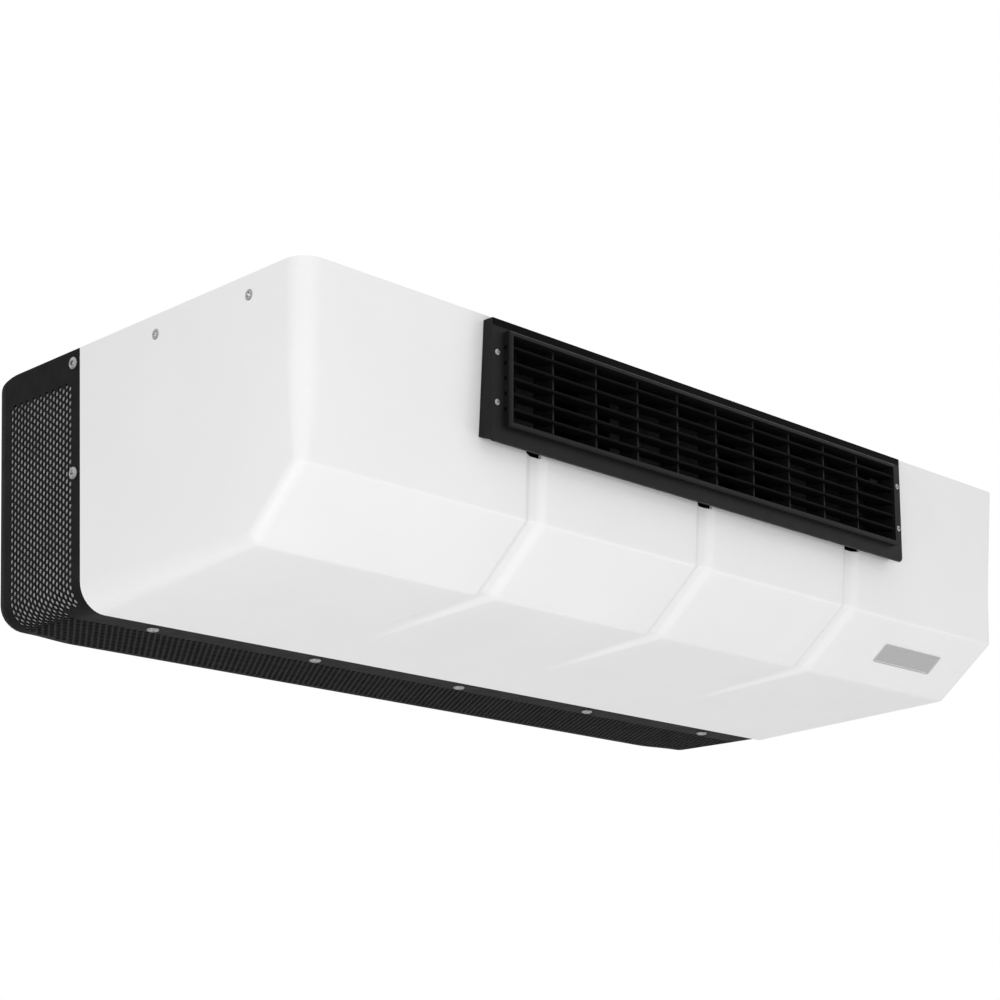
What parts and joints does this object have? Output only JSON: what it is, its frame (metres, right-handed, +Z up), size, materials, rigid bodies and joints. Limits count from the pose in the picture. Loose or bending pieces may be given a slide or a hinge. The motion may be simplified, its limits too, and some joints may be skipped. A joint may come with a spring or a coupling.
{
  "type": "dual blower evaporator",
  "caption": "Ceiling-hung vehicle evaporator with a moulded cover, louvred discharge grille, perforated return screen and a dual-blower core.",
  "frame": {"origin": "centre of the four ceiling bolts, on the top pan's upper face", "axes": "+X along the width to the end with the pipe ports, -Y towards the discharge grille, +Z up towards the ceiling"},
  "size_m": [0.9952, 0.5058, 0.241],
  "materials": {
    "cover_plastic": "satin white moulding",
    "screen_metal": "satin black paint",
    "grille_plastic": "fine matte black",
    "sheet_metal": "mill finish sheet",
    "blower_plastic": "moulded black",
    "motor_paint": "dark enamel",
    "steel": "zinc plated",
    "fin_aluminium": "bare fins",
    "copper": "bright copper tube",
    "brass": "machined",
    "foam": "closed-cell foam",
    "tray_plastic": "moulded",
    "badge_foil": "satin, bare"
  },
  "bodies": {
    "housing": {"front_cover": "cover_plastic", "return_screen": "screen_metal", "joint_frame": "sheet_metal", "top_pan": "sheet_metal", "grille_frame": "grille_plastic", "discharge_plenum": "sheet_metal", "left_scroll_outer": "blower_plastic", "left_scroll_inner": "blower_plastic", "right_scroll_outer": "blower_plastic", "right_scroll_inner": "blower_plastic", "blower_motor": "motor_paint", "motor_saddle": "sheet_metal", "motor_strap": "sheet_metal", "fin_pack": "fin_aluminium", "left_coil_plate": "sheet_metal", "right_coil_plate": "sheet_metal", "left_return_bends": "copper", "right_return_bends": "copper", "suction_header": "copper", "suction_port": "brass", "liquid_line": "copper", "liquid_port": "brass", "expansion_valve": "brass", "distributor": "brass", "feeder_tubes": "copper", "coil_top_seal": "foam", "drain_tray": "tray_plastic", "drain_spigots": "tray_plastic", "cover_screws": "steel", "band_screws": "steel", "floor_screws": "steel", "grille_screws": "steel", "badge_plate": "badge_foil"},
    "rotor": {"blower_shaft": "steel", "left_blower_wheel": "blower_plastic", "right_blower_wheel": "blower_plastic"},
    "link": {"louvre_link": "grille_plastic"},
    "blade_1": {"louvre_blade_1": "grille_plastic"},
    "blade_2": {"louvre_blade_2": "grille_plastic"},
    "blade_3": {"louvre_blade_3": "grille_plastic"},
    "blade_4": {"louvre_blade_4": "grille_plastic"},
    "blade_5": {"louvre_blade_5": "grille_plastic"}
  },
  "joints": [
    {"name": "blower_spin", "type": "hinge", "parent": "housing", "child": "rotor", "pos_m": [0, -0.085, -0.114], "axis": [1, 0, 0], "continuous": true},
    {"name": "louvre_tilt", "type": "hinge", "parent": "housing", "child": "blade_2", "pos_m": [0, -0.2368, -0.043], "axis": [1, 0, 0], "range_deg": [-30, 30]},
    {"name": "blade_1_tilt", "type": "hinge", "parent": "housing", "child": "blade_1", "pos_m": [0, -0.2368, -0.0291], "axis": [1, 0, 0], "range_deg": [-30, 30]},
    {"name": "blade_3_tilt", "type": "hinge", "parent": "housing", "child": "blade_3", "pos_m": [0, -0.2368, -0.0569], "axis": [1, 0, 0], "range_deg": [-30, 30]},
    {"name": "blade_4_tilt", "type": "hinge", "parent": "housing", "child": "blade_4", "pos_m": [0, -0.2368, -0.0708], "axis": [1, 0, 0], "range_deg": [-30, 30]},
    {"name": "blade_5_tilt", "type": "hinge", "parent": "housing", "child": "blade_5", "pos_m": [0, -0.2368, -0.0847], "axis": [1, 0, 0], "range_deg": [-30, 30]},
    {"name": "link_pivot", "type": "hinge", "parent": "blade_3", "child": "link", "pos_m": [-0.262, -0.2293, -0.0569], "axis": [1, 0, 0], "range_deg": [-30, 30]}
  ],
  "couplings": [
    {"joint": "blade_1_tilt", "follows": "louvre_tilt", "ratio": 1},
    {"joint": "blade_3_tilt", "follows": "louvre_tilt", "ratio": 1},
    {"joint": "blade_4_tilt", "follows": "louvre_tilt", "ratio": 1},
    {"joint": "blade_5_tilt", "follows": "louvre_tilt", "ratio": 1},
    {"joint": "link_pivot", "follows": "louvre_tilt", "ratio": -1}
  ]
}
